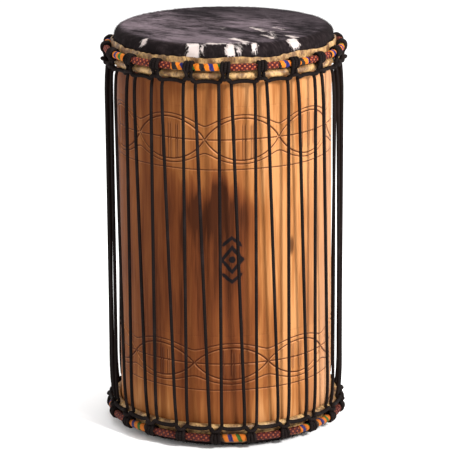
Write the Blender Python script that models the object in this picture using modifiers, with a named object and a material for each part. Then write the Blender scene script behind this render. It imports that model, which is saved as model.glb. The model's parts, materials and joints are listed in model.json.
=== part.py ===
"""A rope-tuned drum: a straight carved shell with a cowhide on each end.

The drum stands on its bottom hide, with the origin at the middle of that face and +Z up the shell.
Each hide is lapped round a flesh hoop, and a crown hoop wound with strips of print cloth pulls the
lap down the shell. A loop rope takes one turn round the crown hoop at every knot, and hangs in a
bight between one knot and the next. One long tension rope, laced up and down between the bights of
the two loop ropes, draws the two ends together.
Angles are counted from the front of the drum, -Y, and positive towards +X.
"""

import math

import bpy
from mathutils import Vector

# The whole drum
HEIGHT = 0.565
GAP = 0.0003

# Shell
SHELL_RADIUS = 0.150
SHELL_WALL = 0.020
EDGE_ROUND = 0.011
EDGE_LAND = 0.005
EDGE_CHAMFER = 0.008
SHELL_STEPS = 63

# Hides
HIDE = 0.0015
COLLAR_GAP = 0.00075
FLAP_RISE = 0.009

# Hoops and the cloth on the crown hoops
FLESH_ROD_RADIUS = 0.0030
CROWN_ROD_RADIUS = 0.0030
CROWN_FROM_FACE = {"top": 0.0281, "bottom": 0.0169}
FLESH_FROM_CROWN = 0.0124
CLOTH = 0.0006
ROD_SIDES = 6

# Ropes and knots
ROPE_RADIUS = 0.0023
ROPE_SIDES_SETTING = 1
KNOTS = 21
KNOT_PITCH = math.tau / KNOTS
LEG_ANGLE = KNOT_PITCH / 6
BOTTOM_TURN = -KNOT_PITCH / 3
LACING_RADIUS = 0.164

# Two facets of every ring to a knot, so the knots sit on its corners
RING_STEPS = 2 * KNOTS
FACET = math.tau / RING_STEPS

# How many facets each strip of cloth covers, in turn red and orange from the front knot on
TOP_STRIPS = (3, 2, 2, 4, 3, 3, 4, 3, 3, 4, 3, 2, 3, 3)
BOTTOM_STRIPS = (2, 3, 3, 3, 3, 3, 4, 3, 3, 3, 3, 3, 2, 4)

# Radii that follow from the stack of hides, ropes and hoops outside the shell
COLLAR_MIDDLE = SHELL_RADIUS + COLLAR_GAP + HIDE / 2
FLAP_MIDDLE = COLLAR_MIDDLE + HIDE + GAP
LAP_RADIUS = (FLESH_ROD_RADIUS + GAP + HIDE / 2) / math.cos(math.radians(30)) * 1.03
FLESH_RADIUS = COLLAR_MIDDLE + LAP_RADIUS * math.cos(math.radians(30))
CLOTH_RADIUS = CROWN_ROD_RADIUS + GAP + CLOTH
CROWN_RADIUS = FLAP_MIDDLE + HIDE / 2 + 2 * ROPE_RADIUS + 2 * GAP + CLOTH_RADIUS
WRAP_REACH = CLOTH_RADIUS + ROPE_RADIUS + 1.5 * GAP

# How far each rope lies below the crown hoop at the top end, and above it at the bottom one
STRAND_FROM_CROWN = FLESH_FROM_CROWN + LAP_RADIUS + HIDE / 2 + ROPE_RADIUS + 2 * GAP
LACING_FROM_CROWN = FLESH_FROM_CROWN + 0.0045

FRONT = math.radians(-90)


def material(name, colour, roughness, metallic=0.0):
    made = bpy.data.materials.new(name)
    made.use_nodes = True
    shader = made.node_tree.nodes["Principled BSDF"]
    shader.inputs["Base Color"].default_value = (*colour, 1.0)
    shader.inputs["Roughness"].default_value = roughness
    shader.inputs["Metallic"].default_value = metallic
    made.diffuse_color = (*colour, 1.0)
    return made


def add_object(name, data, finish, turn=0.0):
    """One named piece in the drum's collection, turned about the drum's axis."""
    piece = bpy.data.objects.new(name, data)
    piece.rotation_euler.z = turn
    drum.objects.link(piece)
    data.materials.append(finish)
    return piece


def at_end(points, end):
    """Points (radius, height) at the top end, or mirrored to the bottom one, in Screw order."""
    if end == "top":
        return points
    return [(radius, HEIGHT - height) for radius, height in reversed(points)]


def level(end, from_crown=0.0):
    """The height of the crown hoop at this end, or of what lies this far from it up the shell."""
    depth = CROWN_FROM_FACE[end] + from_crown
    return HEIGHT - depth if end == "top" else depth


def turned(name, outline, steps, finish, turn=0.0, closed=True):
    """A solid of revolution from an outline of (radius, height) that runs down its outer side."""
    mesh = bpy.data.meshes.new(name)
    edges = [(n, n + 1) for n in range(len(outline) - 1)]
    if closed:
        edges.append((len(outline) - 1, 0))
    mesh.from_pydata([(radius, 0.0, height) for radius, height in outline], edges, [])
    piece = add_object(name, mesh, finish, turn)
    screw = piece.modifiers.new("Turn", "SCREW")
    screw.steps = screw.render_steps = steps
    screw.use_merge_vertices = True
    screw.merge_threshold = 0.00001
    screw.use_smooth_shade = True
    return piece


def arc(centre, across, up, start, stop, steps):
    """Points on a quarter of an ellipse, from start to stop in degrees from straight up."""
    points = []
    for n in range(steps + 1):
        angle = math.radians(start + (stop - start) * n / steps)
        points.append((centre[0] + across * math.sin(angle), centre[1] + up * math.cos(angle)))
    return points


def make_shell(wood):
    top = HEIGHT - HIDE - GAP
    flat = SHELL_RADIUS - EDGE_ROUND
    bore = SHELL_RADIUS - SHELL_WALL
    rim = arc((flat, top - EDGE_ROUND), EDGE_ROUND, EDGE_ROUND, 0, 90, 3)
    upper = [(bore, top - EDGE_CHAMFER), (flat - EDGE_LAND, top), *rim]
    turned("shell", upper + at_end(upper, "bottom"), SHELL_STEPS, wood)


def thickened(middle, thickness):
    """The closed outline of a sheet, from the line along its middle that starts on the axis."""
    sides = ([], [])
    for n, (radius, height) in enumerate(middle):
        before = Vector(middle[max(n - 1, 0)])
        after = Vector(middle[min(n + 1, len(middle) - 1)])
        here = Vector((radius, height))
        along = [step.normalized() for step in (here - before, after - here) if step.length > 0]
        mean = sum(along, Vector((0.0, 0.0))).normalized()
        stretch = 1 / mean.dot(along[0])
        normal = Vector((-mean.y, mean.x)) * (thickness / 2 * stretch)
        sides[0].append(tuple(here + normal))
        sides[1].append(tuple(here - normal))
    return sides[0] + sides[1][::-1]


def make_head(end, hide, turn):
    """A hide: flat face, rounded shoulder, collar, lap round the flesh hoop and standing flap."""
    face = HEIGHT - HIDE / 2
    crown = HEIGHT - CROWN_FROM_FACE[end]
    flesh = crown - FLESH_FROM_CROWN
    flat = SHELL_RADIUS - EDGE_ROUND
    drop = EDGE_ROUND + GAP + HIDE / 2
    shoulder = arc((flat, face - drop), COLLAR_MIDDLE - flat, drop, 0, 90, 3)
    lap = []
    for degrees in (210, 270, 330, 30, 90):
        angle = math.radians(degrees)
        lap.append((FLESH_RADIUS + LAP_RADIUS * math.cos(angle), flesh + LAP_RADIUS * math.sin(angle)))
    flap = [(FLAP_MIDDLE, flesh + 1.45 * LAP_RADIUS), (FLAP_MIDDLE, crown + FLAP_RISE)]
    outline = thickened([(0.0, face), *shoulder, *lap, *flap], HIDE)
    turned(f"{end}_head", at_end(outline, end), RING_STEPS, hide, turn, closed=False)


def make_hoop(name, radius, rod_radius, height, steel, turn):
    bpy.ops.mesh.primitive_torus_add(
        major_segments=RING_STEPS,
        minor_segments=ROD_SIDES,
        major_radius=radius,
        minor_radius=rod_radius,
        location=(0, 0, height),
        rotation=(0, 0, turn),
    )
    hoop = bpy.context.object
    hoop.name = hoop.data.name = name
    hoop.data.shade_smooth()
    hoop.data.materials.append(steel)
    for collection in list(hoop.users_collection):
        collection.objects.unlink(hoop)
    drum.objects.link(hoop)


def make_cloth(end, strips, height, prints, turn):
    """Strips wound round the crown hoop end to end, each a sleeve that is open at both ends."""
    middle = CLOTH_RADIUS - CLOTH / 2
    trim = GAP / CROWN_RADIUS
    covered = 0
    for n, facets in enumerate(strips):
        section = []
        for side in range(ROD_SIDES):
            angle = -math.tau * side / ROD_SIDES
            section.append((CROWN_RADIUS + middle * math.cos(angle), height + middle * math.sin(angle)))
        name = f"{end}_cloth_{n + 1:02d}"
        start = turn + covered * FACET + trim / 2
        strip = turned(name, section, facets, prints[n % 2], start)
        strip.modifiers["Turn"].angle = facets * FACET - trim
        wall = strip.modifiers.new("Thickness", "SOLIDIFY")
        wall.thickness = CLOTH
        wall.offset = 0.0
        wall.use_even_offset = True
        covered += facets


def beside_knot(angle, across, radius, height):
    """A point that lies across from the middle of the knot at this angle."""
    outward = Vector((math.sin(angle), -math.cos(angle), 0.0))
    sideways = Vector((math.cos(angle), math.sin(angle), 0.0))
    return outward * radius + sideways * across + Vector((0.0, 0.0, height))


def make_rope(name, route, finish):
    """A rope whose two ends are joined, along a route of points."""
    curve = bpy.data.curves.new(name, "CURVE")
    curve.dimensions = "3D"
    curve.bevel_depth = ROPE_RADIUS
    curve.bevel_resolution = ROPE_SIDES_SETTING
    curve.use_fill_caps = True
    spline = curve.splines.new("POLY")
    spline.points.add(len(route) - 1)
    for point, place in zip(spline.points, route):
        point.co = (*place, 1.0)
    spline.use_cyclic_u = True
    add_object(name, curve, finish)


def hitch(angle, crown):
    """The loop rope at one knot: in, up the front, once round the crown hoop, down and out."""
    half = 0.0027
    spread = 0.0042
    strand_radius = FLESH_RADIUS + 0.0030
    front = LACING_RADIUS + 2 * ROPE_RADIUS + GAP
    corner = WRAP_REACH * math.tan(math.radians(22.5))
    strand = crown - STRAND_FROM_CROWN
    under = (spread * 0.65, LACING_RADIUS - 0.0005, strand - 0.0036)
    places = [
        (-spread, strand_radius, strand),
        (-under[0], under[1], under[2]),
        (-half, front, strand),
        (-half, CROWN_RADIUS + WRAP_REACH, crown + corner),
        (-0.0023, CROWN_RADIUS + corner, crown + WRAP_REACH),
        (-0.0015, CROWN_RADIUS - corner, crown + WRAP_REACH),
        (-0.0009, CROWN_RADIUS - WRAP_REACH, crown + corner),
        (0.0006, CROWN_RADIUS - WRAP_REACH, crown - corner),
        (0.0020, CROWN_RADIUS - corner, crown - WRAP_REACH),
        (half, front, crown - 0.0090),
        (half, front, strand),
        (under[0], under[1], under[2]),
        (spread, strand_radius, strand),
    ]
    return [beside_knot(angle, *place) for place in places]


def lacing(angle, crown):
    """The tension rope where it turns over one knot, from its left leg to its right one."""
    half = LACING_RADIUS * math.sin(LEG_ANGLE)
    radius = LACING_RADIUS * math.cos(LEG_ANGLE)
    ease = 0.0030
    turn = crown - LACING_FROM_CROWN
    places = [
        (-half, radius, turn - ease),
        (ease - half, radius, turn),
        (half - ease, radius, turn),
        (half, radius, turn - ease),
    ]
    return [beside_knot(angle, *place) for place in places]


def upside_down(route):
    """The same route at the bottom end of the drum."""
    return [Vector((x, y, HEIGHT - z)) for x, y, z in route]


def make_ropes(rope):
    top_route, bottom_route, tension_route = [], [], []
    top_crown, bottom_crown = (HEIGHT - CROWN_FROM_FACE[end] for end in ("top", "bottom"))
    for knot in range(KNOTS):
        top_angle = knot * KNOT_PITCH
        bottom_angle = top_angle + KNOT_PITCH + BOTTOM_TURN
        top_route += hitch(top_angle, top_crown)
        bottom_route += upside_down(hitch(bottom_angle, bottom_crown))
        tension_route += lacing(top_angle, top_crown)
        tension_route += upside_down(lacing(bottom_angle, bottom_crown))
    make_rope("top_loop_rope", top_route, rope)
    make_rope("bottom_loop_rope", bottom_route, rope)
    make_rope("tension_rope", tension_route, rope)


for old in list(bpy.data.objects):
    bpy.data.objects.remove(old)
drum = bpy.data.collections.new("rope_tuned_drum")
bpy.context.scene.collection.children.link(drum)

wood = material("carved_wood", (0.48, 0.21, 0.07), 0.45)
hide = material("black_haired_hide", (0.035, 0.030, 0.034), 0.55)
steel = material("bare_steel", (0.42, 0.42, 0.44), 0.40, 1.0)
red_print = material("red_print_cloth", (0.45, 0.05, 0.04), 0.85)
orange_print = material("orange_print_cloth", (0.85, 0.32, 0.03), 0.85)
black_rope = material("black_rope", (0.022, 0.022, 0.025), 0.65)

make_shell(wood)
make_ropes(black_rope)
for end, strips, turn in (("top", TOP_STRIPS, 0.0), ("bottom", BOTTOM_STRIPS, BOTTOM_TURN)):
    crown, flesh = level(end), level(end, FLESH_FROM_CROWN)
    make_head(end, hide, FRONT + turn)
    make_hoop(f"{end}_flesh_hoop", FLESH_RADIUS, FLESH_ROD_RADIUS, flesh, steel, FRONT + turn)
    make_hoop(f"{end}_crown_hoop", CROWN_RADIUS, CROWN_ROD_RADIUS, crown, steel, FRONT + turn)
    prints = (red_print, orange_print) if end == "top" else (orange_print, red_print)
    make_cloth(end, strips, crown, prints, FRONT + turn)
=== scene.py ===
# %% [markdown]
# # A rope-tuned drum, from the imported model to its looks
# This drum is a straight wooden shell that stands on its bottom hide. Each hide is lapped round a
# steel hoop, a second hoop wound with scraps of print cloth pulls the lap down, and one long rope
# laced from end to end keeps both hides tight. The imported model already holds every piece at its
# right size. It could be rendered as it is, but its pieces are plain solids. So each cell below
# builds one real surface over the plain one: carved wood, haired hide, rawhide, cloth or rope.

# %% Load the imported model
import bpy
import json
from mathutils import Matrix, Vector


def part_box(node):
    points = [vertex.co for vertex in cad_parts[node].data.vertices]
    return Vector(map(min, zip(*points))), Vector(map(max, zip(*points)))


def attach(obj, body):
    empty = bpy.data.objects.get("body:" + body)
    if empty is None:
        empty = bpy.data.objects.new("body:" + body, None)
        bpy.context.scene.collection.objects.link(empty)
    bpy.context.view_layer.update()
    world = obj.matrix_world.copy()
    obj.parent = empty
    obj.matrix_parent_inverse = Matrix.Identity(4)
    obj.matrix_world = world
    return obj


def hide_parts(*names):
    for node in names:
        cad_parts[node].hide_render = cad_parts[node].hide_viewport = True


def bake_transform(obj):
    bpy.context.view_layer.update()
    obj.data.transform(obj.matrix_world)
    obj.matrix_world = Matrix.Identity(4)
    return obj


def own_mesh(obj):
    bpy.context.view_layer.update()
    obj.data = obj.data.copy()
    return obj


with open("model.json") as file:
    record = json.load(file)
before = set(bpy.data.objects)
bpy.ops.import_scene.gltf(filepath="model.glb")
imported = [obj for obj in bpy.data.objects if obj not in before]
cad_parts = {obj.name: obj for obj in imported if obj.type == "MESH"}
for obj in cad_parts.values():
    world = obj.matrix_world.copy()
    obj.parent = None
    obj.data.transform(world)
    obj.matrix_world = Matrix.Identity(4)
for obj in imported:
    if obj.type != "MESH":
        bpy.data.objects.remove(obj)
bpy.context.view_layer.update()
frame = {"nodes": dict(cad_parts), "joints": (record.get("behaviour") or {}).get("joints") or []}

# %% [markdown]
# ## Sizes
# Every size that the plain model knows is read from it, so that nothing has to be fitted by hand.
# The drum's axis is Z. Places round it are easiest to say as an angle from the front, a radius and
# a height, so one small function turns those three numbers, or arrays of them, into points. Each
# end of the drum has 21 knots, and the bottom ones are turned a third of a knot from the top ones.

# %% Read the sizes
import math

import bmesh
import bpy
import numpy as np
from mathutils import Vector

MM = 0.001
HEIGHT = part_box("top_head")[1].z
SHELL_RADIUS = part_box("shell")[1].x
KNOTS = 21
PITCH = math.tau / KNOTS
ENDS = ("top", "bottom")


def hoop_of(node, rod):
    """The radius and height of the middle of a hoop's rod."""
    low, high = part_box(node)
    return max(high.x, -low.y) - rod, (low.z + high.z) / 2


ROD = 3 * MM
CROWN = {end: hoop_of(f"{end}_crown_hoop", ROD) for end in ENDS}
FLESH = {end: hoop_of(f"{end}_flesh_hoop", ROD) for end in ENDS}
UP = {"top": 1, "bottom": -1}
BODY = {"top": "top_hoops", "bottom": "bottom_hoops"}
KNOT_TURN = {"top": 0.0, "bottom": -PITCH / 3}


def around(angle, radius, height):
    """Points at an angle from the front (-Y, positive towards +X), a radius and a height."""
    angle, radius, height = np.broadcast_arrays(angle, radius, height)
    return np.stack([radius * np.sin(angle), -radius * np.cos(angle), height], axis=-1)


for end in ENDS:
    print(end, "crown hoop", np.round(CROWN[end], 4), "flesh hoop", np.round(FLESH[end], 4))

# %% [markdown]
# ## Camera, floor and light
# The drum is seen from a little above, through a long lens, in a bright white studio. A long lens
# needs a camera that stands far back: here the pair of distance and focal length was chosen so that
# the top hide's ellipse and the bottom one's have the right unlike heights. The camera has no
# shift, because other views move it round the drum. The light is a white room, which is the world,
# with a small strong lamp to the right of the front, whose shadows show that the ropes stand off
# the wood, and a large soft lamp on each side and above.

# %% Camera
CAMERA_DISTANCE = 3.5665
CAMERA_HEIGHT = 1.221
CAMERA_DOWN = math.radians(14.817)
CAMERA_TURN = math.radians(-0.5)
CAMERA_ROLL = -0.0069


def new_object(name, data):
    made = bpy.data.objects.new(name, data)
    bpy.context.scene.collection.objects.link(made)
    return made


def look_from(thing, place, aim):
    """Puts a camera or a lamp at a place and turns it to look at another."""
    thing.location = place
    thing.rotation_euler = (aim - thing.location).to_track_quat("-Z", "Y").to_euler()


aim = Vector((0, 0, CAMERA_HEIGHT - CAMERA_DISTANCE * math.tan(CAMERA_DOWN)))
camera = new_object("camera", bpy.data.cameras.new("camera"))
look_from(camera, around(CAMERA_TURN, CAMERA_DISTANCE, CAMERA_HEIGHT), aim)
camera.rotation_euler.rotate_axis("Z", CAMERA_ROLL)
camera.data.sensor_width = 36
camera.data.lens = 208.9
camera.data.clip_end = 50
bpy.context.scene.camera = camera
print("the camera looks at height", round(aim.z, 3))

# %% Floor and light
bpy.ops.mesh.primitive_plane_add(size=30, location=(0, 0, 0))
floor = bpy.context.object
floor.name = "floor"

world = bpy.data.worlds.new("white_room")
world.use_nodes = True
room = world.node_tree.nodes["Background"].inputs
room["Color"].default_value = (1.0, 1.0, 1.0, 1)
room["Strength"].default_value = 1.0
bpy.context.scene.world = world
bpy.context.scene.view_settings.view_transform = "Standard"


def lamp(name, angle, distance, height, size, power):
    """A large square lamp that faces the middle of the drum."""
    light = bpy.data.lights.new(name, "AREA")
    light.size = size
    light.energy = power
    place = around(math.radians(angle), distance, height)
    look_from(new_object(name, light), place, Vector((0, 0, HEIGHT / 2)))


lamp("key_softbox", 43, 2.2, 1.5, 0.38, 88)
lamp("right_softbox", 100, 2.4, 0.8, 1.0, 18)
lamp("left_softbox", -100, 2.4, 0.8, 1.0, 14)
lamp("overhead_softbox", 160, 0.8, 3.2, 2.4, 42)

# %% [markdown]
# ## Shader sums
# A finish is a web of shader nodes, and sums made of Math nodes are hard to read. So one small
# class wraps a node's output and overloads Python's signs: `1 - mask * 2` then adds its own Math
# nodes. A table says which sign or word stands for which operation: `y.angle_from(x)`, for one, is
# the angle whose sine and cosine go as y and x. A second class holds the material and makes every
# other node with one method, which is given the node's type, its settings and the values or links
# of its sockets.

# %% Shader sums
class Wire:
    """A node's output that numbers and other wires can be added to, multiplied and so on."""

    def __init__(self, finish, socket):
        self.finish = finish
        self.socket = socket

    def sum_node(self, operation, first, second=0.0):
        return self.finish.node("Math", {"operation": operation}, {0: first, 1: second})

    def __rsub__(self, other):
        return self.sum_node("SUBTRACT", other, self)

    def step(self, low, high):
        """0 below low, 1 above high and a smooth rise between them. With high first, it falls."""
        if low > high:
            return 1 - self.step(high, low)
        settings = {"interpolation_type": "SMOOTHSTEP"}
        return self.finish.node("MapRange", settings, {"Value": self, "From Min": low, "From Max": high})


SIGNS = {
    "__add__": "ADD",
    "__radd__": "ADD",
    "__sub__": "SUBTRACT",
    "__mul__": "MULTIPLY",
    "__rmul__": "MULTIPLY",
    "__truediv__": "DIVIDE",
    "__pow__": "POWER",
    "__mod__": "FLOORED_MODULO",
    "__abs__": "ABSOLUTE",
    "sine": "SINE",
    "angle_from": "ARCTAN2",
    "least": "MINIMUM",
    "most": "MAXIMUM",
}


def sign(operation):
    """A method that makes one Math node from a wire and another value, where it needs one."""
    return lambda wire, other=0.0: wire.sum_node(operation, wire, other)


for word, operation in SIGNS.items():
    setattr(Wire, word, sign(operation))


def socket_name(word):
    """The shader's own name of a socket, such as Specular IOR Level for specular_ior_level."""
    return word.replace("_", " ").title().replace("Ior", "IOR")


class Finish:
    """A material whose Principled shader is fed by wires."""

    def __init__(self, name, **constants):
        self.material = bpy.data.materials.new(name)
        self.material.use_nodes = True
        self.tree = self.material.node_tree
        self.shader = self.tree.nodes["Principled BSDF"]
        for socket, value in constants.items():
            self.shader.inputs[socket_name(socket)].default_value = value

    def put(self, socket, value):
        if isinstance(value, Wire):
            self.tree.links.new(value.socket, socket)
        elif isinstance(value, tuple) and len(socket.default_value) == 4:
            socket.default_value = (*value, 1.0)
        else:
            socket.default_value = value

    def node(self, kind, settings=None, sockets=None, output=0):
        made = self.tree.nodes.new("ShaderNode" + kind)
        for name, value in (settings or {}).items():
            setattr(made, name, value)
        for name, value in (sockets or {}).items():
            self.put(made.inputs[name], value)
        return Wire(self, made.outputs[output])

    def ramp(self, value, stops, interpolation="LINEAR"):
        """The colour that a value has on a ramp of places from 0 to 1 and their colours."""
        made = self.node("ValToRGB", sockets={0: value})
        ramp = made.socket.node.color_ramp
        ramp.interpolation = interpolation
        while len(ramp.elements) < len(stops):
            ramp.elements.new(1.0)
        for element, (place, colour) in zip(ramp.elements, stops):
            element.position = place
            element.color = (*colour, 1.0)
        return made

    def place(self):
        """The point on the piece, in metres from the drum's origin."""
        return self.node("TexCoord", output="Object")

    def mark(self, name):
        """A number or vector that the mesh holds at each of its points."""
        return self.node("Attribute", {"attribute_name": name}, output="Vector")

    def parts(self, vector):
        """The three numbers of a vector."""
        split = self.node("SeparateXYZ", sockets={0: vector})
        return [Wire(self, socket) for socket in split.socket.node.outputs]

    def scaled(self, vector, x, y, z):
        return self.node("VectorMath", {"operation": "MULTIPLY"}, {0: vector, 1: (x, y, z)})

    def noise(self, vector, scale, detail=3.0, roughness=0.55):
        sockets = {"Vector": vector, "Scale": scale, "Detail": detail, "Roughness": roughness}
        return self.node("TexNoise", sockets=sockets)

    def mix(self, share, low, high):
        """The colour low where share is 0 and high where it is 1."""
        return self.node("Mix", {"data_type": "RGBA"}, {0: share, 6: low, 7: high}, output=2)

    def feed(self, **sockets):
        for name, value in sockets.items():
            self.put(self.shader.inputs[socket_name(name)], value)

    def bump(self, height, distance):
        """Small relief from a wire that runs from 0 to 1, the distance deep in metres."""
        normal = self.node("Bump", sockets={"Strength": 1.0, "Distance": distance, "Height": height})
        self.put(self.shader.inputs["Normal"], normal)


pale = Finish("pale_floor", roughness=0.9)
mottle = pale.noise(pale.place(), 3.0)
pale.feed(base_color=pale.mix(mottle, (0.95, 0.95, 0.95), (0.97, 0.97, 0.97)))
floor.data.materials.append(pale.material)
print("the floor is", pale.material.name)

# %% [markdown]
# ## Meshes from grids of points
# Nearly everything on this drum is a skin over a grid: rows of points along a profile, repeated
# round the axis or along a rope. It could be made with a Screw modifier, but then every turn would
# be alike. A grid worked out with numpy can differ at every angle, so wood is never perfectly round
# and rawhide puckers between its ropes. The mesh also keeps numbers at its points, its marks,
# which the finishes read later.

# %% Meshes from grids
def add_piece(name, mesh, finishes):
    """A new object with its finishes."""
    piece = new_object(name, mesh)
    for finish in finishes:
        mesh.materials.append(finish.material)
    return piece


def marked_mesh(name, points, faces, marks):
    """A smooth mesh that holds a named vector or more at each of its points."""
    mesh = bpy.data.meshes.new(name)
    mesh.from_pydata(points.reshape(-1, 3).tolist(), [], faces)
    for word, values in marks.items():
        mark = mesh.attributes.new(word, "FLOAT_VECTOR", "POINT")
        mark.data.foreach_set("vector", np.asarray(values, np.float32).ravel())
    mesh.shade_smooth()
    return mesh


def grid_mesh(name, points, marks, close=True, sharp=40):
    """Quads over an array of points, rows by columns by 3, as an open sheet or closed both ways."""
    rows, columns = points.shape[:2]
    index = np.arange(rows * columns).reshape(rows, columns)
    if close:
        index = np.concatenate([index, index[:1]])
        index = np.concatenate([index, index[:, :1]], axis=1)
    corners = (index[:-1, :-1], index[1:, :-1], index[1:, 1:], index[:-1, 1:])
    quads = np.stack(corners, axis=-1).reshape(-1, 4)
    mesh = marked_mesh(name, points, quads.tolist(), marks)
    mesh.set_sharp_from_angle(angle=math.radians(sharp))
    return mesh


def weld(mesh, distance=1e-7):
    """Joins points that lie on each other, such as a ring of points on the axis."""
    body = bmesh.new()
    body.from_mesh(mesh)
    bmesh.ops.remove_doubles(body, verts=body.verts, dist=distance)
    bmesh.ops.recalc_face_normals(body, faces=body.faces)
    body.to_mesh(mesh)
    body.free()


def waves(angle, seed, low, high, count=14):
    """An uneven wave round the drum, about -1 to 1, of sines with low to high turns each."""
    dice = np.random.default_rng(seed)
    turns = dice.integers(low, high, count)
    starts = dice.uniform(0, math.tau, count)
    return sum(np.sin(n * angle + start) for n, start in zip(turns, starts)) / math.sqrt(count)


def ramp(value, low, high):
    """0 below low, 1 above high and a smooth rise between them, as in the shader."""
    share = np.clip((value - low) / (high - low), 0, 1)
    return share * share * (3 - 2 * share)


# %% [markdown]
# ## The carved shell
# The shell is one log, hollowed out and turned round, with a band of carving near each end: thin
# rings, a chain of nine lens shapes, a wavy line on both sides of the chain, a straight line
# through it, and short upright cuts in each lens. A V-shaped chisel makes all of them.
# The cuts could be a bump in the finish, but a bump has no edge from the side. They could be cut
# with Booleans, which is slow where cuts cross. Here the rows of the grid follow the cuts
# themselves: each line of the carving is a height that depends on the angle, and it gets its own
# rows for its two edges and its bottom, so that a coarse grid still holds crisp cuts. The upright
# cuts are given in degrees from the middle of a lens.

# %% The lines of the carving
COLUMNS = 720
LENSES = 9
LENS_TURN = math.tau / LENSES
CUT_WIDTH = 2.4 * MM
WAVE_OFF = 8.5 * MM
columns = np.arange(COLUMNS) * math.tau / COLUMNS


def lens_height(angle, crossing, rise):
    """Half the height of the chain of lenses, which is 0 at each crossing: an arc of a circle."""
    half_chord = SHELL_RADIUS * LENS_TURN / 2
    radius = (half_chord**2 + rise**2) / (2 * rise)
    from_middle = ((angle - crossing) % LENS_TURN - LENS_TURN / 2) * SHELL_RADIUS
    return np.sqrt(radius**2 - from_middle**2) - (radius - rise)


def band_lines(angle, middle, rise, crossing, ring_low, ring_high):
    """The lines of one carved band from the lowest up: (height at each angle, depth)."""
    lens = lens_height(angle, crossing, rise)
    wave = np.sqrt(lens**2 + (WAVE_OFF * 2.1) ** 2) * 0.93 + WAVE_OFF * 0.25
    flat = np.zeros_like(angle)
    drift = waves(angle, 5, 2, 8) * 0.5 * MM
    chain = ((-wave, 1.2), (-lens, 1.6), (flat, 1.3), (lens, 1.6), (wave, 1.2))
    lines = [(middle + off, deep) for off, deep in chain]
    lines = [(ring_low + flat, 1.0), *lines, (ring_high + flat, 0.35)]
    return [(height + drift, deep * MM) for height, deep in lines]


BANDS = (
    dict(middle=0.1190, rise=23 * MM, crossing=math.radians(22.5), ring_low=0.0813, ring_high=0.1590),
    dict(middle=0.4345, rise=29 * MM, crossing=math.radians(29.2), ring_low=0.3933, ring_high=0.4800),
)
UPRIGHT_CUTS = (-5, -4, 0, 1.5, 4.5, 5.5)
UPRIGHT_DEPTH = 0.9 * MM
print(len(BANDS), "bands of", LENSES, "lenses")

# %% Rows that follow the cuts
def between(low, high, count):
    """Rows that fill the plain wood between two lines of the grid."""
    shares = (np.arange(count) + 1) / (count + 1)
    return [low + (high - low) * share for share in shares]


def band_rows(band):
    """The rows of one band, each a height at every angle, in order and never crossing."""
    rows = []
    for height, _ in band_lines(columns, **band):
        slope = np.gradient(height, columns * SHELL_RADIUS)
        reach = CUT_WIDTH * np.sqrt(1 + np.minimum(slope**2, 4))
        if rows:
            rows += between(rows[-1], height - reach, 2)
        rows += [height - reach, height - reach / 2, height, height + reach / 2, height + reach]
    ordered = [rows[0]]
    for row in rows[1:]:
        ordered.append(np.maximum(row, ordered[-1] + 0.02 * MM))
    return ordered


def cut_depth(angle, height):
    """How deep each point is cut, and whether it is above (1) or below (-1) the middle of its cut."""
    depth = np.zeros_like(height)
    side = np.zeros_like(height)
    for band in BANDS:
        lens = lens_height(angle, band["crossing"], band["rise"])
        for line, deep in band_lines(angle, **band):
            slope = np.gradient(line, axis=-1) / (SHELL_RADIUS * math.tau / COLUMNS)
            away = (height - line) / np.sqrt(1 + slope**2) / CUT_WIDTH
            cut = deep * np.clip(1 - np.abs(away), 0, 1)
            side = np.where(cut > depth, np.clip(away * 4, -1, 1), side)
            depth = np.maximum(depth, cut)
        inside = np.abs(height - band["middle"]) < lens - CUT_WIDTH
        for degrees in UPRIGHT_CUTS:
            place = band["crossing"] + math.radians(degrees)
            off = (angle - place) % LENS_TURN - LENS_TURN / 2
            cut = UPRIGHT_DEPTH * np.clip(1 - np.abs(off) * SHELL_RADIUS / CUT_WIDTH, 0, 1)
            side = np.where(inside & (cut > depth), np.clip(-off * 300, -1, 1), side)
            depth = np.where(inside, np.maximum(depth, cut), depth)
    return depth, side


shell_low, shell_high = (corner.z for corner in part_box("shell"))
EDGE_ROUND = 11 * MM
full = np.zeros(COLUMNS)
lower, upper = (band_rows(band) for band in BANDS)
outer = [full + shell_low + EDGE_ROUND]
outer += between(outer[-1], lower[0], 6) + lower + between(lower[-1], upper[0], 24) + upper
outer += between(outer[-1], full + shell_high - EDGE_ROUND, 6) + [full + shell_high - EDGE_ROUND]
heights = np.array(outer)
angles = np.broadcast_to(columns, heights.shape)
depths, sides = cut_depth(angles, heights)
print(heights.shape[0], "rows by", COLUMNS, "columns, deepest cut", round(depths.max() / MM, 2), "mm")

# %% [markdown]
# ## Wood
# The shell is a hard red wood. Its heartwood is dark red-brown and its sapwood bright orange, and
# on one side the border between them runs up the shell in ragged flames. Oil makes it glow.
# An image of wood could be used, but a procedural one has no seam and follows the real shell: the
# grain is noise that is stretched along the axis, and the border is worked out from the angle and
# the height, moved to and fro by that same stretched noise. Each zone is a mask from 0 to 1: the
# left side, the dark wood below the flames, the flames' darkest tips, the back and the foot. Their
# sum is the wood's age, and a ramp of colours runs from sapwood at 0 to old heartwood at 1.

# %% Wood finish
wood = Finish("carved_wood", specular_ior_level=0.04)
spot = wood.place()
x, y, z = wood.parts(spot)
turn = x.angle_from(0 - y)
fibre = wood.noise(wood.scaled(spot, 1, 1, 0.035), 420.0, detail=4.0, roughness=0.6)
streak = wood.noise(wood.scaled(spot, 1, 1, 0.06), 75.0, detail=4.0, roughness=0.6)
flame = wood.noise(wood.scaled(spot, 1, 1, 0.12), 34.0, roughness=0.6)
cloud = wood.noise(wood.scaled(spot, 1, 1, 0.35), 14.0, detail=2.0)

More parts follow.
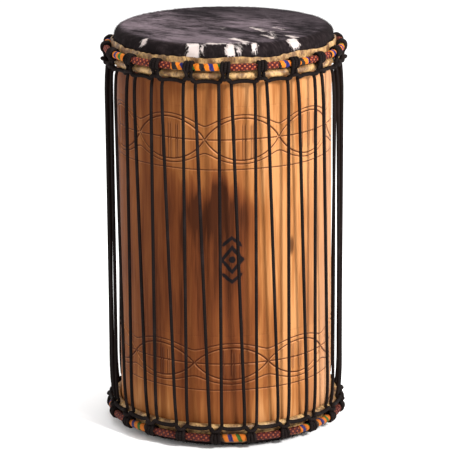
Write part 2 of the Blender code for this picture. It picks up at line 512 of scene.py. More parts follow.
border = turn + (flame - 0.5) * 0.34 + (streak - 0.5) * 0.16
left = border.step(-0.44, -0.72)
upper_edge = z + (flame - 0.5) * 0.20 + (streak - 0.5) * 0.06 + turn * 0.035
below = upper_edge.step(0.402, 0.335)
low = below * border.step(0.34, 0.24) * (0.56 + border.step(0.24, 0.08) * 0.26 - left * 0.28)
tips = below * upper_edge.step(0.270, 0.350) * border.step(0.0, -0.12) * border.step(-0.45, -0.25)
back = (abs(turn) + (flame - 0.5) * 0.5).step(1.9, 2.4)
base = (z + (flame - 0.5) * 0.04).step(0.100, 0.045) * 0.26
plain = (0.27 + below * 0.09 - turn * 0.40).least(0.36 + below * 0.08).most(0.12)
age = (left * 0.54).most(low + tips * 0.28).most(back * 0.9).most(plain) - base * border.step(0.5, 0.2)
age = age + (streak - 0.5) * 1.15 + (fibre - 0.5) * 0.45 + (cloud.step(0.45, 0.70) - 0.25) * 0.24
STOPS = (
    (0.00, (0.42, 0.190, 0.070)),
    (0.22, (0.275, 0.102, 0.029)),
    (0.48, (0.175, 0.054, 0.0150)),
    (0.80, (0.106, 0.0285, 0.0085)),
    (1.00, (0.044, 0.0118, 0.0040)),
)
colour = wood.ramp(age, STOPS)
# Painted light: the wood is paler in a band about 40 to 100 degrees right of the front, standing in for
# the haze of light on that side.
colour = wood.mix(turn.step(0.70, 1.25) * turn.step(1.8, 1.4) * 0.45, colour, (0.50, 0.27, 0.15))

# %% [markdown]
# ## Marks on the wood
# Three things mark the wood: the carving, a small knot and a burnt motif. The carving's mesh says
# how deep each point is cut and on which side of the cut it lies. The side that looks up gets a
# painted highlight of pale wood, and the side that looks down and the bottom of the cut get painted
# shade. The motif, a lozenge with a dot and a chevron above and below, is burnt in with a hot iron.
# It could be cut as geometry, but a burn has no depth to speak of, so it is drawn with distances
# from simple shapes.

# %% Carving colours, knot and motif
depth_share, side, _ = wood.parts(wood.mark("cut"))
cut = depth_share.step(0.15, 0.9)
# Painted highlight: the lower side of each cut, which looks up, is lightened to pale wood.
colour = wood.mix(cut * side.step(0.0, -0.6) * (0.62 - age * 0.55).most(0.15), colour, (0.58, 0.25, 0.105))
# Painted shade: the upper side of each cut, which looks down, and the cut's bottom are darkened.
colour = wood.mix(cut * side.step(-0.7, -0.1) * 0.86, colour, (0.045, 0.0105, 0.0045))

KNOT_TURN_ON_WOOD, KNOT_HEIGHT = 0.648, 0.280
knot_across = (turn - KNOT_TURN_ON_WOOD) * SHELL_RADIUS / (4.2 * MM)
knot_up = (z - KNOT_HEIGHT) / (15 * MM)
knot_off = knot_across * knot_across + knot_up * knot_up + (streak - 0.5) * 2.0
colour = wood.mix(knot_off.step(1.5, 0.2) * 0.85, colour, (0.045, 0.014, 0.005))

MOTIF_TURN, MOTIF_HEIGHT = 0.054, 0.268
wander = (wood.noise(spot, 160.0, detail=2.0) - 0.5) * 3.0
across = abs((turn - MOTIF_TURN) * (SHELL_RADIUS / MM) + wander)
along = abs((z - MOTIF_HEIGHT) / MM + wander)
lozenge = abs(across / 14 + along / 17 - 1) * 11
dot = ((across * across + along * along) ** 0.5 - 3.0).most(0.0) + 0.6
chevron = abs(along + across * 0.8 - 31) * 0.8 + (across - 12).most(0.0)
burn = lozenge.least(dot).least(chevron) + (fibre - 0.5) * 1.2
colour = wood.mix(burn.step(5.5, 1.5) * 0.55, colour, (0.050, 0.015, 0.007))
colour = wood.mix(burn.step(2.9, 1.7), colour, (0.0075, 0.0055, 0.006))
wood.feed(base_color=colour, roughness=0.38 + fibre * 0.2)
wood.bump(fibre * 0.6 + streak * 0.4, 0.25 * MM)
print(len(wood.tree.nodes), "nodes in the wood")

# %% Shell piece
WALL = 20 * MM
EDGE_FLAT = 5 * MM
EDGE_BEVEL = 8 * MM
FLAT_RADIUS = SHELL_RADIUS - EDGE_ROUND
uneven = waves(columns, 3, 2, 9) * 0.15 * MM - 0.2 * MM
outside = around(angles, SHELL_RADIUS + uneven - depths, heights)


def edge_rows(rim, way):
    """The rows over the bearing edge: rounded outside, a narrow flat, then a bevel to the bore."""
    rows = []
    for slant in np.radians([67.5, 45.0, 22.5, 0.0]):
        across, down = EDGE_ROUND * math.sin(slant), EDGE_ROUND * (1 - math.cos(slant))
        rows.append((FLAT_RADIUS + across, rim - way * down))
    return [*rows, (FLAT_RADIUS - EDGE_FLAT, rim), (SHELL_RADIUS - WALL, rim - way * EDGE_BEVEL)]


inner = edge_rows(shell_high, 1) + edge_rows(shell_low, -1)[::-1]
inside = np.stack([around(columns, radius, height) for radius, height in inner])
cuts = np.zeros((len(outer) + len(inner), COLUMNS, 3))
cuts[: len(outer), :, 0] = np.clip(depths / MM, 0, 1)
cuts[: len(outer), :, 1] = sides
shell_points = np.concatenate([outside, inside])
shell_mesh = grid_mesh("carved_shell", shell_points, {"cut": cuts}, sharp=25)
weld(shell_mesh)
shell = add_piece("carved_shell", shell_mesh, [wood])
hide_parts("shell")
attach(shell, "root")
print("the shell has", len(shell_mesh.polygons), "faces")

# %% [markdown]
# ## The hides
# A hide is one sheet of cowhide. Its face and collar carry black hair with white patches. Below the
# collar it turns up round the flesh hoop, so its bare flesh side shows as a pale roll that puckers
# between the ropes, and its trimmed edge stands up behind the crown hoop as a ragged flap.
# A cloth simulation could drape it, but a wet hide is pulled far tighter than cloth and then
# dries hard, so its shape is known: the line along the middle of the sheet is the same all round
# but for the puckers and the edge. Both sides are then set off from that line. When the drum is
# tuned the lap and the flap go down with the hoops and the collar stretches, so the lap and the flap
# are one piece, which rides on the hoops, and the face and the collar are another.
#
# The hair's colour is black but for its white patches. Those on the collar are listed as their
# angle and half width in degrees, how far they hang down in millimetres, and how white they are.
# Those on the face are strokes, each with two ends, a half width and a whiteness. Noise that is
# stretched the way the hair lies makes the edges of both ragged. On the face the black is painted
# lighter as sheen, and darker towards the back right as painted shade.

# %% Hair, rawhide
COMB_ANGLE = 0.65
hair = Finish("black_haired_hide", specular_ior_level=0.03)
root = hair.mark("root")
rx, ry, rz = hair.parts(root)
hair_turn = rx.angle_from(0 - ry)
out = (rx * rx + ry * ry) ** 0.5
combed = hair.node("VectorRotate", {"rotation_type": "Z_AXIS"}, {"Vector": root, "Angle": COMB_ANGLE})
lie = hair.noise(hair.scaled(combed, 0.16, 1, 0.4), 330.0)
patch = hair.noise(hair.scaled(combed, 0.5, 1.3, 0.5), 90.0, roughness=0.65)
sheen = hair.noise(hair.scaled(combed, 0.5, 1.0, 1.0), 17.0)

on_collar = out.step(0.1375, 0.1450)
drop = HEIGHT / 2 / MM - abs(rz - HEIGHT / 2) / MM
ragged = hair_turn + (patch - 0.5) * 0.16 + (lie - 0.5) * 0.03
rough = (patch - 0.5) * 9.0
COLLAR_PATCHES = (
    (-16.3, 3.2, 20.0, 0.9),
    (-11.2, 1.5, 12.0, 0.6),
    (2.2, 2.2, 17.0, 0.9),
    (6.6, 3.2, 14.0, 0.55),
    (15.6, 1.6, 14.0, 0.9),
    (38.8, 3.4, 14.0, 0.9),
    (-46.3, 1.5, 12.0, 0.8),
)
white = 0.0
for middle, half, reach, strength in COLLAR_PATCHES:
    off = abs(ragged - math.radians(middle)) / math.radians(half)
    hangs = (drop + rough).step(reach, reach - 6)
    white = (off.step(1.25, 0.55) * hangs * strength).most(white)
white = white * on_collar
rim = out.step(0.1340, 0.1380) * out.step(0.1440, 0.1415)
rim_line = ragged.step(-0.17, -0.14) * ragged.step(0.30, 0.26) * rim
white = white.most(rim_line * (patch.step(0.36, 0.56) * 0.9))
FACE_STROKES = (
    ((8, -104), (30, -133), 7.0, 0.85),
    ((36, -22), (54, -57), 3.2, 0.80),
    ((50, -79), (66, -108), 3.2, 0.85),
    ((62, -52), (66, -98), 2.6, 0.60),
    ((67, -24), (80, -46), 2.4, 0.65),
    ((-8, -20), (2, -38), 2.2, 0.45),
    ((84, -86), (96, -106), 6.0, 0.90),
)
for (start_x, start_y), (stop_x, stop_y), width, strength in FACE_STROKES:
    long_x, long_y = stop_x - start_x, stop_y - start_y
    length = math.hypot(long_x, long_y)
    from_x, from_y = rx / MM - start_x, ry / MM - start_y
    along = (from_x * long_x + from_y * long_y) * (1 / length)
    aside = abs((from_x * long_y - from_y * long_x) * (1 / length) + (patch - 0.5) * 16)
    inside = (along + rough).step(-3, 2) * (along + rough).step(length + 3, length - 2)
    white = white.most(aside.step(width, width * 0.4) * inside * strength * (1 - on_collar))
on_top = rz.step(0.2, 0.3)
white = (white + (lie - 0.5) * 0.9).step(0.42, 0.62) * white.step(0.05, 0.2) * on_top

grain = hair.node("TexWhiteNoise", {"noise_dimensions": "3D"}, {"Vector": root}, output="Value")
tone = sheen.step(0.36, 0.64) * 0.8 + (lie - 0.5) * 2.2 + (patch - 0.5) * 1.3 + (grain - 0.5) * 0.5
# Painted shade: the face's hair is darkened towards the back right, where it catches no sheen.
shaded_back_right = (rx * 0.6 + ry).step(0.02, 0.11)
tone = tone * (1 - shaded_back_right * 0.75)
# Painted sheen: the face's black hair is painted far lighter than the collar's near-black, as the sheen of
# light on it.
sheen_lit_face_hair = hair.mix(tone, (0.012, 0.0085, 0.0100), (0.215, 0.165, 0.185))
collar_tone = lie.step(0.42, 0.75) * 0.7 + grain * 0.3
collar_hair = hair.mix(collar_tone, (0.0060, 0.0042, 0.0044), (0.034, 0.0245, 0.0255))
black = hair.mix(on_collar, sheen_lit_face_hair, collar_hair)
hair.feed(base_color=hair.mix(white, black, (0.58, 0.50, 0.47)), roughness=0.66 + lie * 0.2)
hair.bump(lie * 0.7 + patch * 0.3, 0.6 * MM)

rawhide = Finish("rawhide", specular_ior_level=0.4)
crease = rawhide.noise(rawhide.scaled(rawhide.place(), 1, 1, 0.45), 420.0, detail=4.0, roughness=0.65)
stain = rawhide.noise(rawhide.place(), 70.0)
hide_colour = rawhide.mix(stain.step(0.38, 0.64), (0.150, 0.070, 0.023), (0.46, 0.275, 0.105))
# Painted shade: the hollows of the creases are darkened.
hide_colour = rawhide.mix(crease.step(0.52, 0.36) * 0.7, hide_colour, (0.055, 0.025, 0.011))
rawhide.feed(base_color=hide_colour, roughness=0.35 + stain * 0.25)
rawhide.bump(crease, 0.8 * MM)
print(len(hair.tree.nodes), "nodes in the hair")

# %% The sheet's middle line
HIDE = 1.3 * MM
FLAP_RISE = {"top": 11.2 * MM, "bottom": 8 * MM}
HIDE_COLUMNS = KNOTS * 28
FACE_ROWS, EDGE_ROWS, COLLAR_ROWS = 16, 8, 6
LAP_ROW = FACE_ROWS + EDGE_ROWS + COLLAR_ROWS - 1
EDGE_DROP = 12 * MM
LAP_START = 4.5 * MM
LAP_REACH = 4.3 * MM
BULGE = {"top": 0.85 * MM, "bottom": 0.45 * MM}
PUCKER_SEED = {"top": 11, "bottom": 12}
FLAP_RADIUS = 153.4 * MM
FACE = {"top": HEIGHT, "bottom": 0.0}
COLLAR = SHELL_RADIUS + 1.5 * MM
hide_angles = np.arange(HIDE_COLUMNS) * math.tau / HIDE_COLUMNS


def from_knot(angle, end):
    """The angle to the nearest knot, which is at most half a pitch."""
    return (angle - KNOT_TURN[end] + PITCH / 2) % PITCH - PITCH / 2


def lap_reach(angle, end):
    """The lap's radius about its hoop: fat and puckered between knots, pinched at them."""
    between_knots = ramp(np.abs(from_knot(angle, end)), 0.030, 0.062)
    pucker = waves(angle, PUCKER_SEED[end], 60, 170, 30) * 0.30 * MM
    return LAP_REACH + between_knots * (BULGE[end] + pucker)


def hide_line(end):
    """The sheet's middle from the axis out, as rows of (radius, drop from the face) round the drum."""
    flesh_radius, flesh_height = FLESH[end]
    flesh_drop = abs(FACE[end] - flesh_height)
    crown_drop = abs(FACE[end] - CROWN[end][1])
    level = np.zeros(HIDE_COLUMNS)
    rows = [(level + radius, level + HIDE / 2) for radius in np.linspace(0, FLAT_RADIUS, FACE_ROWS)]
    for slant in np.radians(np.linspace(11, 90, EDGE_ROWS)):
        radius = FLAT_RADIUS + (COLLAR - FLAT_RADIUS) * math.sin(slant)
        drop = HIDE / 2 + EDGE_DROP * (1 - math.cos(slant))
        rows.append((level + radius, level + drop))
    start = rows[-1][1]
    stop = flesh_drop - 2.2 * MM
    for share in np.linspace(0, 1, COLLAR_ROWS + 1)[1:]:
        rows.append((level + COLLAR, start + (stop - start) * share))
    reach = lap_reach(hide_angles, end)
    for degrees in np.linspace(215, 450, 18):
        slant = math.radians(degrees)
        keep = ramp(degrees, 235, 300) * (1 - ramp(degrees, 400, 450))
        size = LAP_START * (1 - keep) + reach * keep
        rows.append((flesh_radius + size * math.cos(slant), flesh_drop - size * math.sin(slant)))
    ragged = waves(hide_angles, 21, 3, 14) * 1.3 * MM + waves(hide_angles, 22, 30, 90) * 0.45 * MM
    edge = crown_drop - FLAP_RISE[end] - ragged
    clear = ramp(np.abs(from_knot(hide_angles, end)), 0.040, 0.075)
    lean = FLAP_RADIUS + clear * (2.0 * MM + waves(hide_angles, 23, 4, 20) * 0.5 * MM)
    foot_radius, foot_drop = rows[-1]
    for share in np.linspace(0, 1, 8)[1:]:
        radius = foot_radius + (lean - foot_radius) * share
        rows.append((radius, foot_drop + (edge - foot_drop) * share))
    radii, drops = (np.array([row[n] for row in rows]) for n in (0, 1))
    return radii, drops


def both_sides(radii, drops, thickness):
    """The two sides of a sheet, hair side first, from its middle line."""
    along_r, along_d = np.gradient(radii, axis=0), np.gradient(drops, axis=0)
    length = np.hypot(along_r, along_d)
    out_r, out_d = along_d / length * thickness / 2, -along_r / length * thickness / 2
    out_r[0] = 0
    return (radii + out_r, drops + out_d), (radii - out_r, drops - out_d)


for end in ENDS:
    radii, _ = hide_line(end)
    print(end, "hide:", len(radii), "rows, widest", round(radii.max(), 4))

# %% Hide pieces
def blend_collar(piece):
    """Bakes the piece's place into its mesh. The lap goes with the hoops, but the collar is not made to
    stretch.
    """
    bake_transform(piece)


def hide_piece(end, part, rows):
    """Some rows of a sheet, from the hair side to the flesh side and back, as one closed skin."""
    hair_side, flesh_side = both_sides(*hide_line(end), HIDE)
    radii, drops = (np.concatenate([hair_side[n][rows], flesh_side[n][rows][::-1]]) for n in (0, 1))
    points = around(hide_angles, radii, FACE[end] - UP[end] * drops)
    mesh = grid_mesh(f"{end}_{part}", points, {"root": points}, sharp=60)
    row_of_face = np.repeat(np.arange(len(points)), HIDE_COLUMNS)
    bare = (row_of_face >= len(points) // 2 - 1).astype(np.int32)
    mesh.polygons.foreach_set("material_index", bare)
    weld(mesh, 1e-6)
    piece = add_piece(f"{end}_{part}", mesh, [hair, rawhide])
    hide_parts(f"{end}_head")
    print(piece.name, "has", len(mesh.polygons), "faces")
    return piece


for end in ENDS:
    blend_collar(hide_piece(end, "hide", slice(LAP_ROW + 1)))
    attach(hide_piece(end, "hide_lap", slice(LAP_ROW, None)), BODY[end])

# %% [markdown]
# ## Hair
# Short hair lies flat on the hide, combed one way, and hangs down over the collar. A particle system
# could grow it, but it can't be kept as a plain mesh. A few ten thousand thin blades can: each has
# two points at its root, two half-way and one at its tip, and all of a hide's blades are one mesh.
# A blade keeps its root's place as a mark, so a white patch colours whole hairs.

# %% Where the hair grows
def face_roots(dice, count):
    """Roots, outward directions and combing directions of the blades on a hide's face."""
    radius = np.sqrt(dice.uniform(0, 1, count)) * (FLAT_RADIUS + 0.5 * MM)
    angle = dice.uniform(0, math.tau, count)
    swirl = waves(angle, 31, 1, 4, 5) * 0.25 + dice.normal(0, 0.14, count) - COMB_ANGLE
    comb = np.stack([np.cos(swirl), np.sin(swirl), 0 * swirl], axis=-1)
    comb = comb + around(angle, 1.0, 0.0) * (ramp(radius, 0.09, FLAT_RADIUS) * 1.4)[:, None]
    return around(angle, radius, HEIGHT), np.tile([0.0, 0.0, 1.0], (count, 1)), comb


def collar_roots(dice, count):
    """The same for the blades over the bearing edge and on the collar, which hang down."""
    slope = dice.uniform(0, 1, count)
    angle = dice.uniform(0, math.tau, count)
    bend = np.minimum(slope * 1.7, 1) * math.pi / 2
    drop = EDGE_DROP * (1 - np.cos(bend)) + np.maximum(slope - 0.59, 0) * 18 * MM
    radius = FLAT_RADIUS + (COLLAR + HIDE / 2 - FLAT_RADIUS) * np.sin(bend)
    sway = dice.normal(0, 0.22, count) + waves(angle, 33, 6, 30) * 0.35
    comb = around(angle, np.cos(bend), -np.sin(bend))
    comb = comb + around(angle + math.pi / 2, 1.0, 0.0) * sway[:, None]
    return around(angle, radius, HEIGHT - drop), around(angle, np.sin(bend), np.cos(bend)), comb


print("combed", round(math.degrees(COMB_ANGLE)), "degrees off the X axis")

# %% Hair pieces
def hair_piece(end, seed, on_face, on_collar):
    dice = np.random.default_rng(seed)
    fields = face_roots(dice, on_face), collar_roots(dice, on_collar)
    roots, normals, combs = (np.concatenate(both) for both in zip(*fields))
    combs /= np.linalg.norm(combs, axis=1)[:, None]
    dice = np.random.default_rng(seed + 1)
    length = dice.uniform(4.5, 8.5, len(roots))[:, None] * MM
    width = dice.uniform(0.14, 0.26, len(roots))[:, None] * MM
    lift = dice.uniform(0.1, 0.65, len(roots))[:, None] * MM
    half = np.cross(normals, combs) * width
    low = roots - normals * 0.1 * MM
    middle = roots + combs * length * 0.55 + normals * lift * 1.2
    tip = roots + combs * length + normals * lift
    points = np.stack([low - half, low + half, middle - half, middle + half, tip], axis=1)
    if end == "bottom":
        points[..., 2] = np.maximum(HEIGHT - points[..., 2], 0.1 * MM)
        roots = roots * (1, 1, -1) + (0, 0, HEIGHT)
    base = np.arange(len(roots))[:, None] * 5
    quads = (base + (0, 1, 3, 2)).tolist()
    tips = (base + (2, 3, 4)).tolist()
    mesh = marked_mesh(f"{end}_hair", points, quads + tips, {"root": np.repeat(roots, 5, axis=0)})
    piece = add_piece(f"{end}_hair", mesh, [hair])
    blend_collar(piece)
    print(piece.name, len(roots), "blades")


hair_piece("top", 40, 22000, 9000)
hair_piece("bottom", 50, 10, 7000)

# %% [markdown]
# ## Ropes
# The ropes are black braided cord, about 5 mm thick. A curve with a round bevel would do for their
# shape, but a curve holds no marks for the braid. So each rope is a tube swept along its route:
# a smooth curve is drawn through a few chosen points, a ring of points is set square to it at
# every step, and each ring is turned as little as possible from the last one, so that the tube
# doesn't twist. Its mark holds the length along the rope and the way round it, for the braid.

# %% Swept tubes
def smooth_route(points, steps):
    """A closed smooth curve through points, with so many steps from each one to the next."""
    before, after, beyond = (np.roll(points, -shift, axis=0) for shift in (-1, 1, 2))
    chord = np.linalg.norm(after - points, axis=1)[:, None] ** 0.5
    chord_before = np.roll(chord, 1, axis=0)
    chord_after = np.roll(chord, -1, axis=0)
    came, goes, went = points - before, after - points, beyond - after
    leave = (came / chord_before - (after - before) / (chord_before + chord) + goes / chord) * chord
    reach = (goes / chord - (beyond - points) / (chord + chord_after) + went / chord_after) * chord
    made = []
    for share in np.arange(steps) / steps:
        square, cube = share**2, share**3
        near = 2 * cube - 3 * square + 1
        ends = near * points + (1 - near) * after
        made.append(ends + (cube - 2 * square + share) * leave + (cube - square) * reach)
    return np.stack(made, axis=1).reshape(-1, 3)


SHARPEST = 0.16


def spaced(route, longest):
    """The route without the points that straight stretches don't need."""
    kept = [route[0]]
    for point, following in zip(route[1:], np.roll(route[1:], -1, axis=0)):
        straight = point - kept[-1]
        ahead = following - point
        size = np.linalg.norm(straight) * np.linalg.norm(ahead)
        bend = math.acos(np.clip(straight @ ahead / max(size, 1e-12), -1, 1))
        if np.linalg.norm(straight) > longest or bend > SHARPEST:
            kept.append(point)
    return np.array(kept)


def tube_points(route, radius, sides):
    """Rings of points square to a closed route, and their marks."""
    ahead = np.roll(route, -1, axis=0) - np.roll(route, 1, axis=0)
    ahead /= np.linalg.norm(ahead, axis=1)[:, None]
    across = np.zeros_like(route)
    across[0] = np.cross(ahead[0], (0, 0, 1.0))
    across[0] /= np.linalg.norm(across[0])
    for n in range(1, len(route)):
        turned = across[n - 1] - ahead[n] * (across[n - 1] @ ahead[n])
        across[n] = turned / np.linalg.norm(turned)
    last = across[-1] - ahead[0] * (across[-1] @ ahead[0])
    twist = math.atan2(np.cross(last, across[0]) @ ahead[0], last @ across[0])
    length = np.concatenate([[0], np.cumsum(np.linalg.norm(np.diff(route, axis=0), axis=1))])
    turns = np.arange(sides) * math.tau / sides
    angle = turns + (twist * length / length[-1])[:, None]
    up = np.cross(ahead, across)
    ring = np.cos(angle)[..., None] * across[:, None] + np.sin(angle)[..., None] * up[:, None]
    points = route[:, None] + ring * radius
    marks = np.stack(np.broadcast_arrays(length[:, None], np.cos(turns), np.sin(turns)), axis=-1)
    return points, marks


# %% [markdown]
# ## Rope finish
# A braid is two sets of strands that wind opposite ways and pass over and under each other. Two
# slanted waves give that: each follows the length along the rope and a whole number of turns
# round it, so that the pattern meets itself, and their product is a row of small raised diamonds.

# %% Rope finish
cord = Finish("black_rope", specular_ior_level=0.02)
run, way_x, way_y = cord.parts(cord.mark("wind"))
way = way_y.angle_from(way_x)
BRAID_TURN, STRANDS = 1500, 4
one_way = (run * BRAID_TURN + way * STRANDS).sine()
other_way = (run * BRAID_TURN - way * STRANDS).sine()
braid = (one_way * other_way) * 0.5 + 0.5
fuzz = cord.noise(cord.place(), 900.0, detail=2.0)
worn = cord.noise(cord.place(), 35.0)
# Painted shade: the hollows between the braid's raised diamonds are darker than the diamonds.
cord_colour = cord.mix(braid, (0.0036, 0.0025, 0.0023), (0.0125, 0.0088, 0.0082))
cord_colour = cord.mix(worn.step(0.5, 0.75) * 0.5, cord_colour, (0.020, 0.0140, 0.0135))
cord.feed(base_color=cord_colour, roughness=0.5 + fuzz * 0.25)
cord.bump(braid * 0.8 + fuzz * 0.2, 0.35 * MM)
print("the braid repeats every", round(math.tau / BRAID_TURN / MM, 1), "mm")

# %% [markdown]
# ## The loop ropes
# A loop rope goes round the whole drum. At each knot it climbs the front of the lap, takes three
# tight turns round the crown hoop, side by side, and comes down again. From knot to knot it hangs
# in a strand under the lap. The three turns are a short helix, which a loop works out. The points
# of the two legs and of the strand are given as across, radius and height above the flesh hoop,
# in millimetres. The rope is a little thinner where it is pulled tight on the hoop. At the bottom,
# where the hoops are nearer to each other, the legs are drawn up towards the crown hoop.

# %% Loop ropes
LOOP_ROPE = 2.8
SQUEEZED = 2.4
TURNS = 3
CLOTH_AT_KNOT = 3.75
LAST_TURN = 5.0
SHOULDER_IN = ((-8.8, 165.2, -7.6), (-6.0, 165.5, -6.0))
SHOULDER_OUT = ((6.0, 165.5, -6.0), (8.8, 165.2, -7.6))
LEG_IN = (*SHOULDER_IN, (-3.6, 164.8, -2.8), (-2.7, 164.8, 1.4), (-3.6, 166.2, 5.4))
LEG_OUT = ((3.0, 164.8, 2.4), (2.7, 164.8, -0.6), (3.6, 164.8, -3.2), *SHOULDER_OUT)
STRAND = {
    "top": ((-24.4, 161.0, -6.9), (-17.5, 161.2, -7.0), (-12.6, 163.2, -7.6)),
    "bottom": ((-24.4, 164.4, -0.9), (-17.5, 164.4, -1.0), (-12.8, 165.2, -1.9)),
}
PULL = {"top": 0.0, "bottom": 4.4}


def local(end, knot, across, radius, height):
    """A point beside a knot, its height counted from the flesh hoop towards the crown hoop."""
    angle = knot * PITCH + KNOT_TURN[end] + across * MM / (radius * MM)
    return around(angle, radius * MM, FLESH[end][1] + UP[end] * height * MM)


def coil_points(end):
    """Three turns round the crown hoop, side by side, from below its front over the top and down."""
    crown_radius = CROWN[end][0] / MM
    rise = abs(CROWN[end][1] - FLESH[end][1]) / MM
    reach = CLOTH_AT_KNOT + SQUEEZED
    made = []
    for slant in range(-20, 360 * (TURNS - 1) + 250, 45):
        across = min(2 * SQUEEZED * (slant / 360 - (TURNS - 1) / 2), LAST_TURN)
        out, up = reach * math.cos(math.radians(slant)), reach * math.sin(math.radians(slant))
        made.append((across, crown_radius + out, rise + up))
    return made


def pulled(end, points):
    """The same points drawn towards the crown hoop, by less the nearer to it they are."""
    moved = []
    for across, radius, height in points:
        share = min(max((5 - height) / 8, 0), 1)
        moved.append((across, radius, height + PULL[end] * share))
    return moved


def hitch_points(end):
    """One knot's points from the strand on its left to the strand on its right."""
    right = [(-across, radius, height) for across, radius, height in STRAND[end][:0:-1]]
    return [*STRAND[end], *pulled(end, LEG_IN), *coil_points(end), *pulled(end, LEG_OUT), *right]


def rope_piece(name, route, radius, body):
    points, marks = tube_points(route, radius, 8)
    mesh = grid_mesh(name, points, {"wind": marks}, sharp=70)
    weld(mesh)
    piece = add_piece(name, mesh, [cord])
    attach(piece, body)
    print(name, "is", round(marks[-1, 0, 0], 2), "m long, with", len(mesh.polygons), "faces")
    return piece


def loop_thickness(route, end):
    """The rope's radius at each point: it is squeezed where it winds round the crown hoop."""
    crown_radius, crown_height = CROWN[end]
    off = np.hypot(np.hypot(route[:, 0], route[:, 1]) - crown_radius, route[:, 2] - crown_height)
    return (SQUEEZED + (LOOP_ROPE - SQUEEZED) * ramp(off, 9 * MM, 14 * MM))[:, None, None] * MM


for end in ENDS:
    chosen = [local(end, knot, *point) for knot in range(KNOTS) for point in hitch_points(end)]
    route = spaced(smooth_route(np.array(chosen), 6), 6 * MM)
    loop = rope_piece(f"{end}_loops", route, loop_thickness(route, end), BODY[end])
    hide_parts(f"{end}_loop_rope")

# %% [markdown]
# ## The tension rope
# The tension rope comes up behind a strand, crosses in front of the two legs of the hitch, and goes
# down behind the next strand. At the bottom it does the same upside down, a third of a knot
# further on, so one leg of each pair stands upright and the other leans. It is drawn tight, so its
# legs are straight, but no two are at quite the same distance from the wood. As the hoops are
# drawn together the rope gets shorter; that share is worked out, but the piece is not squashed.

# %% Tension rope
ROPE = 2.3 * MM
BEHIND_STRAND = ((-8.4, 162.4, -16.0), (-8.4, 161.0, -10.4), (-7.2, 163.4, -5.4))
TURN = (*BEHIND_STRAND, (-4.4, 168.2, -3.6), (0, 169.4, -3.2))
LEG_RADIUS = 164.2 * MM
UNEVEN = 0.5 * MM
dice = np.random.default_rng(7)


def turn_points(end, knot):
    """The tension rope over one knot, from its left leg to its right one."""
    half = [(across, radius, height + PULL[end]) for across, radius, height in TURN]
    points = half + [(-across, radius, height) for across, radius, height in half[-2::-1]]
    return [local(end, knot, *point) for point in points]


def leg_points(start, stop, off):
    """Points down a straight leg, which is off the true line by a little in its middle."""
    made = []
    for share in np.linspace(0, 1, 16)[1:-1]:
        point = start + (stop - start) * share
        angle = math.atan2(point[0], -point[1])
        bow = math.sin(math.pi * share)
        made.append(around(angle, LEG_RADIUS + bow * off, point[2]))
    return made


route = []
for knot in range(KNOTS):
    over = turn_points("top", knot)
    under = turn_points("bottom", knot + 1)
    following = turn_points("top", knot + 1)
    route += over + leg_points(over[-1], under[0], dice.normal(0, UNEVEN))
    route += under + leg_points(under[-1], following[0], dice.normal(0, UNEVEN))
lacing = spaced(smooth_route(np.array(route), 4), 9 * MM)
tension = rope_piece("tension_lacing", lacing, ROPE, "root")
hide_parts("tension_rope")
TRAVEL = frame["joints"][0]["range_m"][1]
LACED = FLESH["top"][1] - FLESH["bottom"][1]
shortened = (LACED - 2 * TRAVEL) / LACED
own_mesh(tension)

# %% [markdown]
# ## Cloth on the crown hoops
# Each crown hoop is wound with torn strips of print cotton, by turns dark red with small dots and
# orange with coloured bars. A plain sleeve could stand for a strip, but winding shows: every turn
# lies partly on the one before, with a raw edge. So each strip is a real ribbon that is wound as a
# helix, a little wider than its step, and each turn rises from under its neighbour. Its mark holds
# the way along the hoop, the way round the winding, and how far the print is shifted, so that no
# two strips are cut from the same place. Both prints are a little faded, and near the floor they
# are darkened with painted shade.

# %% Print cloth
def cloth_finish(name):
    """A woven cotton: its finish, the ways over it, and masks of its weave, fading and painted shade near
    the floor.
    """
    finish = Finish(name, specular_ior_level=0.2)
    ways = finish.parts(finish.mark("cloth"))
    weave = (ways[0] * 9000).sine() * (ways[1] * 9000).sine() * 0.5 + 0.5
    finish.bump(weave, 0.12 * MM)
    fade = finish.noise(finish.place(), 160.0)
    painted_floor_shade = finish.parts(finish.place())[2].step(0.08, 0.05)
    return finish, ways, weave, fade, painted_floor_shade


BAR_REPEAT, BAR_START, BAR_SLANT = 38 * MM, 33.5 * MM, 0.30
ORANGE, BLACK = (0.52, 0.130, 0.005), (0.008, 0.006, 0.006)
BLUE, GREEN = (0.010, 0.014, 0.10), (0.014, 0.095, 0.012)
BARS = ((0.0, BLACK), (0.17, ORANGE), (0.33, BLUE), (0.49, ORANGE), (0.66, GREEN), (0.80, ORANGE))
bars, (hoop_way, tube_way, shift), weave, fade, painted_floor_shade = cloth_finish("orange_print_cloth")
wander = (bars.noise(bars.place(), 120.0) - 0.5) * 6 * MM
phase = (hoop_way + shift + tube_way * BAR_SLANT + wander + BAR_START) / BAR_REPEAT % 1.0
bar_colour = bars.ramp(phase, BARS, "CONSTANT")
bar_colour = bars.mix(fade.step(0.5, 0.75) * 0.2, bar_colour, (0.40, 0.19, 0.04))
# Painted shade: the cloth is darkened near the floor.
bar_colour = bars.mix(painted_floor_shade * 0.35, bar_colour, (0.030, 0.015, 0.010))
bars.feed(base_color=bar_colour, roughness=0.75 + weave * 0.15)

DOT_ROWS, DOT_COLUMNS, DOT_SLANT = 7.2 * MM, 6.8 * MM, 0.12
dots, (hoop_way, tube_way, _), _, fade, painted_floor_shade = cloth_finish("red_print_cloth")
row_phase = (hoop_way * DOT_SLANT + tube_way) / DOT_ROWS
column_phase = (hoop_way - tube_way * DOT_SLANT) / DOT_COLUMNS
dot = (row_phase * math.tau).sine() * (column_phase * math.tau).sine()
red = dots.mix(fade.step(0.4, 0.7), (0.042, 0.0026, 0.0030), (0.095, 0.0062, 0.0055))
red = dots.mix(dot.step(0.22, 0.75), red, (0.36, 0.088, 0.030))
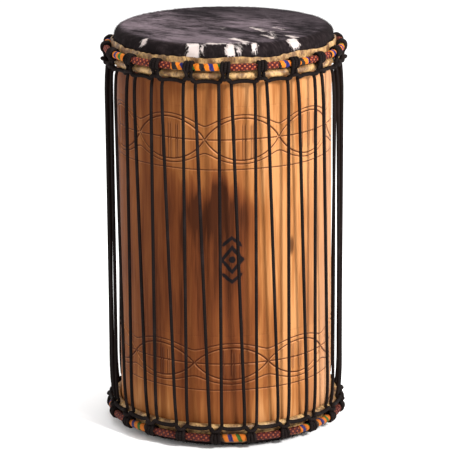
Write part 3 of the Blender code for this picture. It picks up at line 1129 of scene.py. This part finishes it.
# Painted shade: the cloth is darkened near the floor.
red = dots.mix(painted_floor_shade * 0.45, red, (0.016, 0.003, 0.004))
dots.feed(base_color=red, roughness=0.8 + dot * 0.1)
print("bars repeat every", BAR_REPEAT / MM, "mm and rows of dots every", DOT_ROWS / 2 / MM, "mm")

# %% Wound strips
STEP = 11 * MM
RIBBON = 15 * MM
CLOTH_THICK = 0.35 * MM
EDGE = 0.15 * MM
SHIFT = {("top", 2): 11 * MM, ("bottom", 1): 16 * MM}
CLOTH_REACH = 3.55 * MM
TURN_RISE = 0.55 * MM
PADDING = 1.0 * MM
AROUND_STEPS = 20


def span(node):
    """The first and last angle of a strip, read from its plain solid."""
    points = np.array([corner.co for corner in frame["nodes"][node].data.vertices])
    angle = np.arctan2(points[:, 0], -points[:, 1])
    middle = math.atan2(points[:, 0].mean(), -points[:, 1].mean())
    off = (angle - middle + math.pi) % math.tau - math.pi
    return middle + off.min(), middle + off.max()


def wound_strip(end, number):
    """One strip of cloth as a wound ribbon, and the size that it is cut to."""
    node = f"{end}_cloth_{number:02d}"
    crown_radius, crown_height = CROWN[end]
    start, stop = span(node)
    length = (stop - start) * crown_radius
    last = int((length - 4 * MM) / STEP * AROUND_STEPS)
    wind = np.arange(-AROUND_STEPS, last) / AROUND_STEPS
    turns = len(wind) / AROUND_STEPS
    share = np.linspace(0, 1, 7)[:, None]
    fray = waves(wind * 0.7, 300 + number, 2, 9) * 0.5 * MM
    low = np.maximum(wind * STEP + fray, EDGE)
    high = np.minimum(wind * STEP + RIBBON + fray, length - EDGE)
    along = low + (high - low) * share
    hoop_angle = start + along / crown_radius
    clear = ramp(np.abs(from_knot(hoop_angle, end)) * crown_radius, 6.5 * MM, 10.5 * MM)
    crumple = waves(wind * 2.1 + share * 2, 400 + number, 3, 12) * 0.16 * MM
    reach = CLOTH_REACH + TURN_RISE * (1 - share) + clear * (PADDING + crumple)
    turn_angle = wind * math.tau * UP[end]
    radius = crown_radius + reach * np.cos(turn_angle)
    height = crown_height + reach * np.sin(turn_angle)
    points = around(hoop_angle, radius, height)
    front_turn = (turn_angle + math.pi) % math.tau - math.pi
    shift = SHIFT.get((end, number), number * 7 * MM if number < 14 else 0)
    signed = (hoop_angle + math.pi) % math.tau - math.pi
    marks = np.broadcast_arrays(signed * crown_radius, front_turn * 5 * MM, shift)
    marks = np.stack(marks, axis=-1)
    mesh = grid_mesh(f"{end}_strip_{number:02d}", points, {"cloth": marks}, close=False)
    finish = bars if (number % 2 == 0) == (end == "top") else dots
    piece = add_piece(f"{end}_strip_{number:02d}", mesh, [finish])
    wall = piece.modifiers.new("thickness", "SOLIDIFY")
    wall.thickness = CLOTH_THICK
    wall.offset = -1
    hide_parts(node)
    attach(piece, BODY[end])
    cut = (turns * math.tau * float(reach.mean()), RIBBON)
    return cut


cuts_made = [wound_strip(end, number) for end in ENDS for number in range(1, 15)]
print(len(cuts_made), "strips, each about", [round(n, 3) for n in cuts_made[0]], "m of cloth")

# %% [markdown]
# ## Steel
# The four hoops are bent from plain steel rod. They are hidden by hide and cloth, so their plain
# solids stay, with a steel finish that has the drawn rod's faint scratches and a little rust.

# %% Steel finish
steel = Finish("bare_steel", metallic=1.0)
scratch = steel.noise(steel.scaled(steel.place(), 1, 1, 8), 600.0)
rust = steel.noise(steel.place(), 90.0).step(0.58, 0.72)
rusty = steel.mix(rust * 0.7, (0.42, 0.42, 0.44), (0.16, 0.055, 0.02))
steel.feed(base_color=rusty, roughness=0.3 + scratch * 0.3)
for end in ENDS:
    for hoop in ("crown", "flesh"):
        node = frame["nodes"][f"{end}_{hoop}_hoop"]
        node.data.materials.clear()
        node.data.materials.append(steel.material)
print("four hoops in", steel.material.name)

# %% [markdown]
# ## Finish
# The looks must not change the drum's size.

# %% Finish
import json
